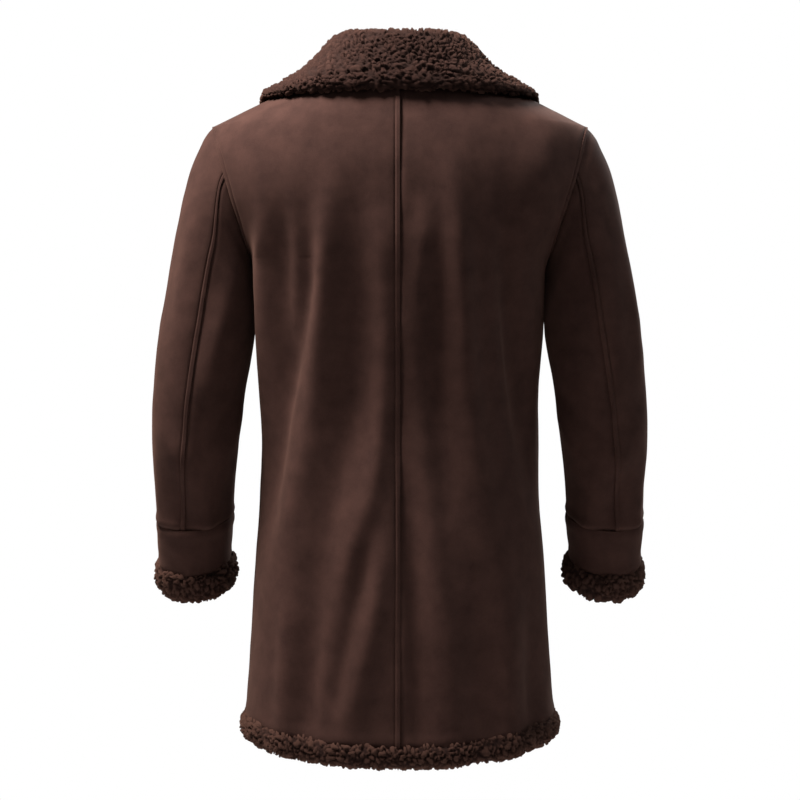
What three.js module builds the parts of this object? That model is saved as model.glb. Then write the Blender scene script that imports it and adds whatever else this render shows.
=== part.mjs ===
// Three-quarter coat of faux suede with a sherpa pile inside, filled out as worn, with no wearer.
// Millimetres, +Z up. The front faces -Y and the wearer's left arm is at +X. The origin lies on the
// neck's axis at the height of the nape, where the wearer's shoulders carry the coat.

import * as THREE from 'three';

// ---- cloth and seams
const wall = 4; // suede with its bonded pile
const seamGap = 0.4; // free width between two pieces that are sewn together
const collarWall = 10; // sherpa on both faces
const collarEdgeWall = 4; // along its outer edge, where the pile rounds off
const collarGap = 2.6; // under the collar, over the shoulders

// ---- body
const neckHeight = 3;
const neckHalfWidth = 74;
const shoulderTip = { x: 243, z: -79 };
const armpit = { x: 190, z: -255 };
const armholeHalfDepth = 72;
const hemHeight = -840;
const hemDip = 20; // the hem hangs this much lower at the centre than at the sides
const hemDipReach = 170;
const roundness = 0.86; // 1 makes each level of the body an ellipse, less makes it squarer
const shoulderPoint = 1.22; // the same towards the shoulder seams, which are ridges
const shoulderPointStart = -190;
const neckDrop = 93; // the neck seam lies this much lower at the front than at the sides
const neckDropStart = -400;
const frontLap = 34; // how far each front runs past the centre line
const lapBlend = 60; // from the centre line to where the right front no longer dips under the left
const lapGap = 1.2; // between the two fronts
const rowsBelowArmhole = 15;
const rowsAlongArmhole = 10;
const rowsOnShoulder = 4;
const columnsPerPanel = 11;

// half the body's width at the side seams, below the armholes
const sideProfile = [
  { z: -870, reach: 201 },
  { z: -824, reach: 198.5 },
  { z: -770, reach: 194.5 },
  { z: -693, reach: 190 },
  { z: -628, reach: 185.5 },
  { z: -560, reach: 181 },
  { z: -470, reach: 179 },
  { z: -407, reach: 180.5 },
  { z: -350, reach: 185 },
  { z: -320, reach: 186 },
  { z: -290, reach: 186.6 },
  { z: -268, reach: 187.6 },
  { z: -255, reach: 190 },
];

// half the width that each level would have if its curve ran on past the seam or the armhole
const breadthProfile = [
  { z: -870, reach: 201 },
  { z: -824, reach: 198.5 },
  { z: -770, reach: 194.5 },
  { z: -693, reach: 190 },
  { z: -628, reach: 185.5 },
  { z: -560, reach: 181 },
  { z: -470, reach: 180 },
  { z: -407, reach: 184 },
  { z: -350, reach: 191 },
  { z: -300, reach: 200 },
  { z: -255, reach: 212 },
  { z: -219, reach: 229 },
  { z: -194, reach: 243 },
  { z: -167, reach: 256 },
  { z: -140, reach: 265 },
  { z: -115, reach: 266 },
  { z: -96, reach: 259 },
  { z: -79, reach: 243 },
];

// distance of the centre back from the origin's upright axis
const backProfile = [
  { z: -870, reach: 150 },
  { z: -760, reach: 147 },
  { z: -640, reach: 139 },
  { z: -530, reach: 126 },
  { z: -430, reach: 119 },
  { z: -330, reach: 128 },
  { z: -240, reach: 138 },
  { z: -180, reach: 137 },
  { z: -140, reach: 134.5 },
  { z: -105, reach: 128 },
  { z: -79, reach: 119 },
  { z: -40, reach: 99 },
  { z: -15, reach: 82 },
  { z: 3, reach: 68 },
];

// the same for the centre front
const frontProfile = [
  { z: -870, reach: 147 },
  { z: -760, reach: 143 },
  { z: -640, reach: 138 },
  { z: -530, reach: 134 },
  { z: -430, reach: 134 },
  { z: -330, reach: 138 },
  { z: -250, reach: 136 },
  { z: -190, reach: 126 },
  { z: -150, reach: 112 },
  { z: -115, reach: 94 },
  { z: -90, reach: 78 },
];

// folds of the back: a path of x and z over the panel, how wide the fold is and how far it stands out
const backFolds = [
  { path: [[124, -231], [124, -342], [150, -490], [171, -576]], width: 17, height: 5 },
  { path: [[160, -178], [168, -342]], width: 15, height: -4 },
  { path: [[98, -178], [98, -377], [111, -543], [124, -642]], width: 17, height: -5 },
  { path: [[58, -191], [45, -377], [58, -510], [98, -642]], width: 18, height: 4 },
  { path: [[58, -636], [98, -709]], width: 14, height: -3 },
  { path: [[18, -662], [58, -775], [92, -860]], width: 18, height: 4 },
  { path: [[131, -709], [144, -860]], width: 16, height: -4 },
  { path: [[-62, -165], [-62, -511]], width: 18, height: 4 },
  { path: [[-92, -250], [-96, -420], [-118, -560]], width: 15, height: -4 },
  { path: [[-115, -285], [-122, -377], [-141, -477], [-175, -576]], width: 16, height: 5 },
  { path: [[-158, -330], [-168, -537]], width: 15, height: -4 },
  { path: [[-70, -640], [-96, -760], [-104, -860]], width: 18, height: 4 },
];

// folds of the fronts, of the same kind
const frontFolds = [
  { path: [[128, -240], [118, -360], [136, -500]], width: 17, height: 5 },
  { path: [[96, -215], [92, -380], [108, -520]], width: 16, height: -4 },
  { path: [[70, -560], [96, -700], [100, -860]], width: 18, height: 4 },
  { path: [[150, -640], [158, -860]], width: 17, height: -4 },
  { path: [[-120, -230], [-112, -350], [-140, -520]], width: 17, height: 5 },
  { path: [[-88, -240], [-86, -400]], width: 16, height: -4 },
  { path: [[-78, -600], [-88, -860]], width: 18, height: 4 },
  { path: [[-146, -600], [-150, -800]], width: 16, height: -4 },
];

// ---- sleeve: one row a ring, with its outermost and innermost point, half its depth, the place of
// its middle from front to back, how many degrees its back edge tips down, and how many its seams
// turn inwards
const sleeveRings = [
  {
    outX: shoulderTip.x, outZ: shoulderTip.z, inX: armpit.x, inZ: armpit.z,
    depth: 72, midY: 0, tip: 0, twist: 0,
  },
  { outX: 257, outZ: -102, inX: 191, inZ: -264, depth: 71.5, midY: 0, tip: 0, twist: 9 },
  { outX: 271, outZ: -132, inX: 190.2, inZ: -276, depth: 71, midY: 1, tip: 0, twist: 17 },
  { outX: 281, outZ: -169, inX: 189.2, inZ: -290, depth: 70, midY: 2, tip: 0, twist: 20 },
  { outX: 289.5, outZ: -212, inX: 188.6, inZ: -308, depth: 69, midY: 4, tip: 0, twist: 18 },
  { outX: 298, outZ: -258, inX: 188, inZ: -330, depth: 67.5, midY: 6, tip: 1, twist: 16 },
  { outX: 305.5, outZ: -303, inX: 189, inZ: -355, depth: 65.5, midY: 9, tip: 2, twist: 15 },
  { outX: 312.5, outZ: -350, inX: 193, inZ: -384, depth: 63, midY: 11, tip: 4, twist: 14 },
  { outX: 317.5, outZ: -398, inX: 199.5, inZ: -420, depth: 60.5, midY: 11, tip: 8, twist: 13 },
  { outX: 321, outZ: -446, inX: 204.5, inZ: -458, depth: 58, midY: 8, tip: 12, twist: 11 },
  { outX: 321.7, outZ: -492, inX: 209.5, inZ: -497, depth: 55.5, midY: 0, tip: 16, twist: 10 },
  { outX: 319.8, outZ: -540, inX: 214.6, inZ: -538, depth: 52, midY: -14, tip: 19, twist: 8 },
  { outX: 319, outZ: -587, inX: 218.6, inZ: -581, depth: 49.5, midY: -29, tip: 22, twist: 7 },
];
const cuffRings = [
  { outX: 320.2, outZ: -587, inX: 217.4, inZ: -581, depth: 50.7, midY: -29, tip: 22, twist: 7 },
  { outX: 319.5, outZ: -617, inX: 221, inZ: -611, depth: 50, midY: -39, tip: 23, twist: 7 },
  { outX: 318, outZ: -648, inX: 225, inZ: -642, depth: 49, midY: -49.5, tip: 24, twist: 7 },
];
const sleeveColumns = 2 * rowsAlongArmhole;
const elbowSeamColumn = 4; // behind, counted from the top of the sleeve
const foreSeamColumn = 13; // in front
const cuffSeamStep = 0.6; // the cuff starts this far below the sleeve's end

// ---- sherpa rolls at the edges
const hemRoll = { halfWidth: 12.5, halfHeight: 12.5, shift: -4 };
const cuffRoll = { halfWidth: 11, halfHeight: 17.5, shift: -2 };
const rollSides = 8;
const hemRollSteps = 52;

// ---- collar: one row a station round the neck, in degrees from the centre back. foldOut and foldUp
// place its fold from the neck seam; restZ and edgeZ are the body rows that it leans on and ends
// over, edgeTurn the station of that end, and lift how far its middle stands off
const collarStations = [
  { turn: 0, foldOut: 12, foldUp: 24, restZ: -22, edgeZ: -50, edgeTurn: 0, lift: 8 },
  { turn: 30, foldOut: 10, foldUp: 26, restZ: -22, edgeZ: -50, edgeTurn: 32, lift: 6 },
  { turn: 60, foldOut: 5, foldUp: 29, restZ: -22, edgeZ: -49, edgeTurn: 61, lift: 2 },
  { turn: 90, foldOut: 1, foldUp: 30, restZ: -21, edgeZ: -47, edgeTurn: 90, lift: -1 },
  { turn: 120, foldOut: 5, foldUp: 29, restZ: -26, edgeZ: -56, edgeTurn: 118, lift: 1 },
  { turn: 150, foldOut: 9, foldUp: 27, restZ: -36, edgeZ: -84, edgeTurn: 147, lift: 3 },
  { turn: 178, foldOut: 10, foldUp: 25, restZ: -44, edgeZ: -118, edgeTurn: 164, lift: 4 },
];
const collarSteps = 38;
const collarRows = 8;

// ---- buttons
const buttonRadius = 13.5;
const buttonDepth = 5;
const buttonHeights = [-215, -345, -475, -605];

// ---- colours
const suede = { color: 0x4a372f, roughness: 0.96, metalness: 0 };
const sherpa = { color: 0x45322d, roughness: 1, metalness: 0 };
const horn = { color: 0x2b1f1a, roughness: 0.45, metalness: 0 };

const smoothStep = (from, to, value) => THREE.MathUtils.smoothstep(value, from, to);

// a smooth curve through the rows of a table, which are sorted by their key
function sampleTable(rows, key, column, value) {
  const last = rows.length - 2;
  let index = rows.findIndex((row, place) => place <= last && value <= rows[place + 1][key]);
  if (index < 0) index = last;
  const slope = (place) => {
    const before = rows[Math.max(place - 1, 0)];
    const after = rows[Math.min(place + 1, rows.length - 1)];
    return (after[column] - before[column]) / (after[key] - before[key]);
  };
  const [low, high] = [rows[index], rows[index + 1]];
  const span = high[key] - low[key];
  const t = (value - low[key]) / span;
  const rise = high[column] - low[column];
  const bend = t * (1 - t);
  return low[column] + rise * t
    + bend * ((1 - t) * (slope(index) * span - rise) - t * (slope(index + 1) * span - rise));
}

const power = (value, exponent = roundness) => Math.sign(value) * Math.abs(value) ** exponent;

// ---- body rows: where the row's edge lies at the side seam, armhole or shoulder seam
function edgeOfRow(z) {
  const mix = (z - armpit.z) / (shoulderTip.z - armpit.z);
  if (mix <= 0) return { x: sampleTable(sideProfile, 'z', 'reach', z), y: 0 };
  if (mix >= 1) {
    const up = (z - shoulderTip.z) / (neckHeight - shoulderTip.z);
    return { x: THREE.MathUtils.lerp(shoulderTip.x, neckHalfWidth, up), y: 0 };
  }
  return {
    x: THREE.MathUtils.lerp(armpit.x, shoulderTip.x, mix),
    y: armholeHalfDepth * Math.sqrt(1 - (2 * mix - 1) ** 2),
  };
}

function foldHeight(folds, x, z) {
  let height = 0;
  for (const fold of folds) {
    let nearest = Infinity;
    for (let place = 0; place + 1 < fold.path.length; place += 1) {
      const [ax, az] = fold.path[place];
      const [bx, bz] = fold.path[place + 1];
      const along = ((x - ax) * (bx - ax) + (z - az) * (bz - az)) / ((bx - ax) ** 2 + (bz - az) ** 2);
      const t = THREE.MathUtils.clamp(along, 0, 1);
      nearest = Math.min(nearest, Math.hypot(x - ax - t * (bx - ax), (z - az - t * (bz - az)) / 2));
    }
    height += fold.height * Math.exp(-((nearest / fold.width) ** 2));
  }
  return height;
}

const nearEdge = (angle) => smoothStep(0.55, Math.PI / 2, angle);

// a row of the body behind (facing 1) or in front (facing -1); side is 1 on the wearer's left
function bodyRow(facing, side, z) {
  const drop = facing < 0 ? neckDrop * smoothStep(neckDropStart, neckHeight, z) : 0;
  const edge = edgeOfRow(z);
  const profile = facing > 0 ? backProfile : frontProfile;
  const depth = sampleTable(profile, 'z', 'reach', z - drop);
  const pointed = smoothStep(shoulderPointStart, shoulderTip.z, z)
    * (1 - 0.6 * smoothStep(shoulderTip.z, neckHeight, z));
  const yRoundness = THREE.MathUtils.lerp(roundness, shoulderPoint, pointed);
  const endAngle = Math.acos(power(edge.y / depth, 1 / yRoundness));
  const width = z < shoulderTip.z ? sampleTable(breadthProfile, 'z', 'reach', z) : edge.x;
  const lapAngle = -Math.asin(power(frontLap / width, 1 / roundness));
  const squeeze = edge.x - width * power(Math.sin(endAngle));
  const dip = hemDip * (1 - smoothStep(hemHeight, hemHeight + hemDipReach, z));
  const folds = facing > 0 ? backFolds : frontFolds;
  const pointAt = (angle) => {
    const height = z - (drop + dip) * Math.cos(Math.PI / 2 * angle / endAngle) ** 2;
    const x = side * (width * power(Math.sin(angle)) + squeeze * nearEdge(angle) / nearEdge(endAngle));
    const inside = smoothStep(0, 0.4, endAngle - angle);
    const out = 1 + foldHeight(folds, x, height) * inside / depth;
    return new THREE.Vector3(x * out, facing * depth * power(Math.cos(angle), yRoundness) * out, height);
  };
  // the angle at a share of the way from one angle to the edge, closer together near the edge
  const angleAt = (start, share) => {
    const spread = Math.PI / 2 - start;
    return start + spread * share - (spread - endAngle + start) * share ** 2;
  };
  return { endAngle, lapAngle, pointAt, angleAt };
}

// ---- grids of points, one array a row, and walls made from them
function gridNormals(grid, closed = false) {
  const columns = grid[0].length;
  const at = (row, column) => {
    const place = closed ? (column + columns) % columns : THREE.MathUtils.clamp(column, 0, columns - 1);
    return grid[THREE.MathUtils.clamp(row, 0, grid.length - 1)][place];
  };
  return grid.map((points, row) => points.map((_, column) => {
    const along = at(row, column + 1).clone().sub(at(row, column - 1));
    const up = at(row + 1, column).clone().sub(at(row - 1, column));
    return along.cross(up).normalize();
  }));
}

function moved(grid, normals, distance) {
  return grid.map((points, row) => points.map((point, column) => (
    point.clone().addScaledVector(normals[row][column], distance))));
}

// a closed wall between two grids; closed joins each row's end to its start
function wallGeometry(outer, inner, closed = false) {
  const rows = outer.length;
  const columns = outer[0].length;
  const positions = [...outer.flat(), ...inner.flat()].flatMap((point) => point.toArray());
  const innerStart = rows * columns;
  const indices = [];
  const quad = (a, b, c, d) => indices.push(a, b, c, a, c, d);
  const spans = closed ? columns : columns - 1;
  for (let row = 0; row + 1 < rows; row += 1) {
    for (let column = 0; column < spans; column += 1) {
      const a = row * columns + column;
      const b = row * columns + (column + 1) % columns;
      quad(a, b, b + columns, a + columns);
      quad(innerStart + a, innerStart + a + columns, innerStart + b + columns, innerStart + b);
    }
  }
  for (let column = 0; column < spans; column += 1) {
    const next = (column + 1) % columns;
    const top = (rows - 1) * columns;
    quad(column, innerStart + column, innerStart + next, next);
    quad(top + column, top + next, innerStart + top + next, innerStart + top + column);
  }
  if (!closed) {
    for (let row = 0; row + 1 < rows; row += 1) {
      const a = row * columns;
      const b = a + columns;
      quad(a, b, innerStart + b, innerStart + a);
      const c = a + columns - 1;
      const d = c + columns;
      quad(c, innerStart + c, innerStart + d, d);
    }
  }
  const geometry = new THREE.BufferGeometry();
  geometry.setAttribute('position', new THREE.Float32BufferAttribute(positions, 3));
  geometry.setIndex(indices);
  geometry.computeVertexNormals();
  return geometry;
}

function makeMesh(name, geometry, look) {
  const mesh = new THREE.Mesh(geometry, new THREE.MeshStandardMaterial(look));
  mesh.name = name;
  return mesh;
}

// draws the first and last point of each row in by half a seam's gap
function trimSeams(grid) {
  const pull = (point, towards) => point.clone().add(
    towards.clone().sub(point).setLength(seamGap / 2));
  return grid.map((points) => points.map((point, column) => {
    if (column === 0) return pull(point, points[1]);
    if (column === points.length - 1) return pull(point, points[column - 1]);
    return point;
  }));
}

// ---- the four panels of the body
function rowHeights() {
  const heights = [];
  for (let step = 0; step < rowsBelowArmhole; step += 1) {
    heights.push(THREE.MathUtils.lerp(hemHeight, armpit.z, step / rowsBelowArmhole));
  }
  for (let step = 0; step < rowsAlongArmhole; step += 1) {
    const mix = (1 - Math.cos(Math.PI * step / rowsAlongArmhole)) / 2;
    heights.push(THREE.MathUtils.lerp(armpit.z, shoulderTip.z, mix));
  }
  for (let step = 0; step <= rowsOnShoulder; step += 1) {
    heights.push(THREE.MathUtils.lerp(shoulderTip.z, neckHeight, step / rowsOnShoulder));
  }
  return heights;
}

function panel(name, facing, side) {
  const lapped = facing < 0;
  const grid = rowHeights().map((z) => {
    const row = bodyRow(facing, side, z);
    const start = lapped ? row.lapAngle : 0;
    return Array.from({ length: columnsPerPanel + 1 }, (_, column) => (
      row.pointAt(row.angleAt(start, column / columnsPerPanel))));
  });
  if (facing * side > 0) grid.forEach((points) => points.reverse());
  const normals = gridNormals(grid);
  const lastColumn = columnsPerPanel;
  const seamColumn = facing * side > 0 ? 0 : lastColumn;
  normals.forEach((row, place) => {
    const onSeam = Math.abs(grid[place][seamColumn].y) < seamGap;
    if (onSeam) row[seamColumn].setY(0).normalize();
    if (!lapped) row[lastColumn - seamColumn].setX(0).normalize();
  });
  let outer = trimSeams(grid);
  if (lapped && side < 0) outer = underlap(outer, normals);
  return makeMesh(name, wallGeometry(outer, moved(outer, normals, -wall)), suede);
}

// the right front passes under the left one
function underlap(grid, normals) {
  const depth = wall + lapGap;
  return grid.map((points, row) => points.map((point, column) => {
    const share = 1 - smoothStep(frontLap + wall, frontLap + lapBlend, -point.x);
    return point.clone().addScaledVector(normals[row][column], -depth * share);
  }));
}

// ---- sleeves
function sleeveRing(ring, side, out = 0) {
  const middle = new THREE.Vector3((ring.outX + ring.inX) / 2, ring.midY, (ring.outZ + ring.inZ) / 2);
  const across = new THREE.Vector3(ring.outX - middle.x, 0, ring.outZ - middle.z);
  const tip = THREE.MathUtils.degToRad(ring.tip);
  const behind = new THREE.Vector3(0, Math.cos(tip), -Math.sin(tip)).multiplyScalar(ring.depth + out);
  across.setLength(across.length() + out);
  return Array.from({ length: sleeveColumns }, (_, column) => {
    const turn = 2 * Math.PI * column / sleeveColumns + THREE.MathUtils.degToRad(ring.twist);
    const point = middle.clone().addScaledVector(across, Math.cos(turn));
    point.addScaledVector(behind, Math.sin(turn));
    return point.setX(point.x * side);
  });
}

const cut = (grid, from, to) => grid.map((points) => (
  Array.from({ length: to - from + 1 }, (_, place) => points[(from + place) % points.length])));

function sleeve(side) {
  const armholeNormal = new THREE.Vector3(armpit.z - shoulderTip.z, 0, shoulderTip.x - armpit.x);
  armholeNormal.setX(-armholeNormal.x * side).setZ(-armholeNormal.z).normalize();
  const grid = sleeveRings.map((ring) => sleeveRing(ring, side));
  grid[0].forEach((point) => point.addScaledVector(armholeNormal, seamGap));
  const normals = gridNormals(grid, true);
  if (side > 0) normals.flat().forEach((normal) => normal.negate());
  normals[0].forEach((normal) => {
    const across = Math.max(normal.dot(armholeNormal), 0);
    normal.addScaledVector(armholeNormal, -across).normalize();
  });
  return { grid, normals };
}

function sleevePiece(name, side, from, to) {
  const { grid, normals } = sleeve(side);
  const outer = trimSeams(cut(grid, from, to));
  const inner = moved(outer, cut(normals, from, to), -wall);
  const flip = (rows) => (side < 0 ? rows : rows.map((points) => [...points].reverse()));
  return makeMesh(name, wallGeometry(flip(outer), flip(inner)), suede);
}

function cuff(name, side) {
  const grid = cuffRings.map((ring) => sleeveRing(ring, side));
  grid.forEach((points) => points.forEach((point) => point.setZ(point.z - cuffSeamStep)));
  if (side > 0) grid.forEach((points) => points.reverse());
  const inner = moved(grid, gridNormals(grid, true), -wall);
  return makeMesh(name, wallGeometry(grid, inner, true), suede);
}

// ---- sherpa rolls: a tube of elliptic sections, closed on itself or with flat ends
function rollGeometry(stations, roll, closed) {
  const sections = stations.map(({ middle, out, down }) => (
    Array.from({ length: rollSides }, (_, place) => {
      const turn = 2 * Math.PI * place / rollSides;
      return middle.clone()
        .addScaledVector(out, roll.shift + roll.halfWidth * Math.cos(turn))
        .addScaledVector(down, 2 * seamGap + roll.halfHeight * (1 + Math.sin(turn)));
    })));
  const indices = [];
  const spans = closed ? sections.length : sections.length - 1;
  for (let row = 0; row < spans; row += 1) {
    const next = ((row + 1) % sections.length) * rollSides;
    for (let place = 0; place < rollSides; place += 1) {
      const after = (place + 1) % rollSides;
      const [a, b] = [row * rollSides + place, row * rollSides + after];
      indices.push(a, b, next + after, a, next + after, next + place);
    }
  }
  const lastStart = (sections.length - 1) * rollSides;
  for (let place = 1; !closed && place + 1 < rollSides; place += 1) {
    indices.push(0, place + 1, place);
    indices.push(lastStart, lastStart + place, lastStart + place + 1);
  }
  const geometry = new THREE.BufferGeometry();
  const positions = sections.flat().flatMap((point) => point.toArray());
  geometry.setAttribute('position', new THREE.Float32BufferAttribute(positions, 3));
  geometry.setIndex(indices);
  geometry.computeVertexNormals();
  return geometry;
}

function cuffTrim(name, side) {
  const end = cuffRings[cuffRings.length - 1];
  const ring = sleeveRing(end, side);
  const middle = ring.reduce((sum, point) => sum.add(point), new THREE.Vector3()).divideScalar(ring.length);
  const down = ring[0].clone().sub(middle).cross(ring[rowsAlongArmhole / 2].clone().sub(middle));
  down.multiplyScalar(-side).normalize();
  const stations = ring.map((point) => {
    const out = point.clone().sub(middle).normalize();
    point.setZ(point.z - cuffSeamStep);
    return { middle: point.addScaledVector(out, -wall / 2), out, down };
  });
  if (side < 0) stations.reverse();
  return makeMesh(name, rollGeometry(stations, cuffRoll, true), sherpa);
}

// a place on the body by the turn round it in degrees, 0 behind and 180 in front, and by its row
function bodyPlace(turn, z) {
  const side = turn < 0 ? -1 : 1;
  const facing = Math.abs(turn) <= 90 ? 1 : -1;
  const share = facing > 0 ? Math.abs(turn) / 90 : (180 - Math.abs(turn)) / 90;
  const row = bodyRow(facing, side, z);
  return row.pointAt(share * row.endAngle);
}

function bodyNormal(turn, z) {
  const nudge = 1.5;
  const along = bodyPlace(turn + nudge, z).sub(bodyPlace(turn - nudge, z));
  const up = bodyPlace(turn, z + nudge).sub(bodyPlace(turn, z - nudge));
  return up.cross(along).normalize();
}

// one roll under the hem, from the left front's edge round the back to where that edge covers the right
function hemTrim(name) {
  const line = [];
  const frontSteps = hemRollSteps / 4;
  const addRow = (facing, side, from, to) => {
    const row = bodyRow(facing, side, hemHeight);
    const limit = { lap: row.lapAngle, covered: -row.lapAngle * 1.06, centre: 0, seam: row.endAngle };
    for (let step = 0; step < frontSteps; step += 1) {
      line.push(row.pointAt(THREE.MathUtils.lerp(limit[from], limit[to], step / frontSteps)));
    }
    return row.pointAt(limit[to]);
  };
  addRow(-1, 1, 'lap', 'seam');
  addRow(1, 1, 'seam', 'centre');
  addRow(1, -1, 'centre', 'seam');
  line.push(addRow(-1, -1, 'seam', 'covered'));
  const down = new THREE.Vector3(0, 0, -1);
  const stations = line.map((point, place) => {
    const before = line[Math.max(place - 1, 0)];
    const after = line[Math.min(place + 1, line.length - 1)];
    const out = down.clone().cross(after.clone().sub(before)).setZ(0).normalize();
    return { middle: point.clone().addScaledVector(out, -wall / 2), out, down };
  });
  return makeMesh(name, rollGeometry(stations, hemRoll, false), sherpa);
}

// ---- collar: a curve over each station from the neck seam up, over the fold and down to its edge
function collarCurve(turn) {
  const around = Math.abs(turn);
  const value = (column) => sampleTable(collarStations, 'turn', column, around);
  const place = (turnOnBody, z, distance) => {
    const signed = Math.sign(turn || 1) * turnOnBody;
    return bodyPlace(signed, z).addScaledVector(bodyNormal(signed, z), distance);
  };
  const clear = collarGap + collarWall / 2;
  const seam = bodyPlace(turn, neckHeight);
  const edge = place(value('edgeTurn'), value('edgeZ'), collarGap + collarEdgeWall / 2);
  const rest = place((around + value('edgeTurn')) / 2, value('restZ'), clear + value('lift'));
  const fallZ = (value('restZ') + value('edgeZ')) / 2;
  const fall = place((around + 3 * value('edgeTurn')) / 4, fallZ, clear + value('lift') / 2);
  const out = edge.clone().sub(seam).setZ(0).normalize();
  const up = new THREE.Vector3(0, 0, 1);
  const start = seam.clone().addScaledVector(up, 2 * seamGap);
  const stand = seam.clone().addScaledVector(up, 0.6 * value('foldUp')).addScaledVector(out, -1);
  const fold = seam.clone().addScaledVector(up, value('foldUp')).addScaledVector(out, value('foldOut'));
  return new THREE.CatmullRomCurve3([start, stand, fold, rest, fall, edge]);
}

function collar(name) {
  const reach = collarStations[collarStations.length - 1].turn;
  const curves = Array.from({ length: collarSteps + 1 }, (_, step) => (
    collarCurve(THREE.MathUtils.lerp(-reach, reach, step / collarSteps))));
  const grid = Array.from({ length: collarRows + 1 }, (_, row) => (
    curves.map((curve) => curve.getPoint(row / collarRows))));
  const normals = gridNormals(grid);
  const face = (side) => grid.map((points, row) => {
    const thickness = row === collarRows ? collarEdgeWall : collarWall;
    return points.map((point, column) => (
      point.clone().addScaledVector(normals[row][column], side * thickness / 2)));
  });
  return makeMesh(name, wallGeometry(face(1), face(-1)), sherpa);
}

// ---- buttons on the left front, on the centre line
function button(name, z) {
  const profile = [
    [0, 0], [buttonRadius - 1, 0], [buttonRadius, 1.4], [buttonRadius, 3.6], [buttonRadius - 1.6, buttonDepth],
    [buttonRadius - 4, 3.4], [0, 3.4],
  ].map(([radius, height]) => new THREE.Vector2(radius, height));
  const row = bodyRow(-1, 1, z);
  const place = row.pointAt(0.001);
  const normal = bodyNormal(179, z);
  const mesh = makeMesh(name, new THREE.LatheGeometry(profile, 14), horn);
  mesh.position.copy(place).addScaledVector(normal, seamGap + 0.3);
  mesh.quaternion.setFromUnitVectors(new THREE.Vector3(0, 1, 0), normal);
  return mesh;
}

const coat = new THREE.Group();
coat.add(panel('back_left', 1, 1), panel('back_right', 1, -1));
coat.add(panel('front_left', -1, 1), panel('front_right', -1, -1));
for (const [word, side] of [['left', 1], ['right', -1]]) {
  coat.add(sleevePiece(`upper_sleeve_${word}`, side, foreSeamColumn, sleeveColumns + elbowSeamColumn));
  coat.add(sleevePiece(`under_sleeve_${word}`, side, elbowSeamColumn, foreSeamColumn));
  coat.add(cuff(`cuff_${word}`, side), cuffTrim(`cuff_trim_${word}`, side));
}
coat.add(collar('collar'), hemTrim('hem_trim'));
buttonHeights.forEach((z, place) => coat.add(button(`button_${place + 1}`, z)));

export default coat;
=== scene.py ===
import math

import bpy
import numpy as np
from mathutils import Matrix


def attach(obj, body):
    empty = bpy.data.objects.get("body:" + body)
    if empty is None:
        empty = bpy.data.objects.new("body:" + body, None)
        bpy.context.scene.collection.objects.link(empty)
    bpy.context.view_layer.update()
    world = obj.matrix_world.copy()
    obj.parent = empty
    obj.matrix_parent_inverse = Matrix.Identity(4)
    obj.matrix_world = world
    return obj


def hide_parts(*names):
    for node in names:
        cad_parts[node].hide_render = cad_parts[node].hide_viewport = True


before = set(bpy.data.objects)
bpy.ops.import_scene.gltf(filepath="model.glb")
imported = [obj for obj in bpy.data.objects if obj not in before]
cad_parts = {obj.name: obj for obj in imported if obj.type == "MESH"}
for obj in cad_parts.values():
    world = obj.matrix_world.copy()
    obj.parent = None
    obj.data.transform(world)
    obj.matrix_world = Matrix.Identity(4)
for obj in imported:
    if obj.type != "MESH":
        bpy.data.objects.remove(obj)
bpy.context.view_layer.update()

mm = 0.001


def addObject(name, data, place=(0, 0, 0), turn=(0, 0, 0)):
    made = bpy.data.objects.new(name, data)
    made.location = place
    made.rotation_euler = turn
    bpy.context.scene.collection.objects.link(made)
    return made


# the camera is behind the coat, level with its middle
cameraSettings = {"distance": 2400.0, "height": -433.0, "viewWidth": 1040.0, "sensor": 36.0}


def addCamera(settings):
    data = bpy.data.cameras.new("camera")
    data.sensor_width = settings["sensor"]
    data.lens = settings["sensor"] * settings["distance"] / settings["viewWidth"]
    place = (0, settings["distance"] * mm, settings["height"] * mm)
    bpy.context.scene.camera = addObject("camera", data, place, (math.pi / 2, 0, math.pi))


addCamera(cameraSettings)
print("camera placed")


# numbers shared by the pieces, in millimetres; a relief is a list of bells over a distance, each with
# its height, centre and width, and waves are soft noise, each with its height and size
cloth = {
    "wall": 4.0, "seamStrip": 5.4, "stripRise": 1.3, "stripEdge": (-0.9, 0.5), "pileInside": 2.2,
    "curl": 9.0, "curlWarp": 3, "warpSize": 9,
    "grooveRelief": [(-0.75, 0.7, 0.9), (0.5, 6.6, 6)], "dipRelief": [(-1.1, 0, 3.2), (0.4, 9, 6)],
}
body = {
    "neckHeight": 3.0, "neckHalfWidth": 74.0, "tipX": 243.0, "tipZ": -79.0, "pitX": 190.0, "pitZ": -255.0,
    "armholeHalfDepth": 72.0, "hemHeight": -840.0, "hemDip": 20.0, "hemDipReach": 170.0, "roundness": 0.86,
    "shoulderPoint": 1.22, "shoulderPointStart": -190.0, "neckDrop": 93.0, "neckDropStart": -400.0,
    "shoulderPointLoss": 0.6, "frontLap": 34.0, "lapBlend": 60.0, "lapGap": 1.2, "squeezeStart": 0.55,
    "foldGain": 1.35, "foldFade": 0.4, "backShoulderLap": 0.8, "sink": 0.5,
    "hemRelief": [(-1.6, 0, 2.0), (1.2, 9, 7)], "waves": [(1.2, 80), (0.4, 26)],
}
hemZ, pitZ, tipZ, neckZ = (body[key] for key in ("hemHeight", "pitZ", "tipZ", "neckHeight"))
upwards = np.array([0.0, 0.0, 1.0])

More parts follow.
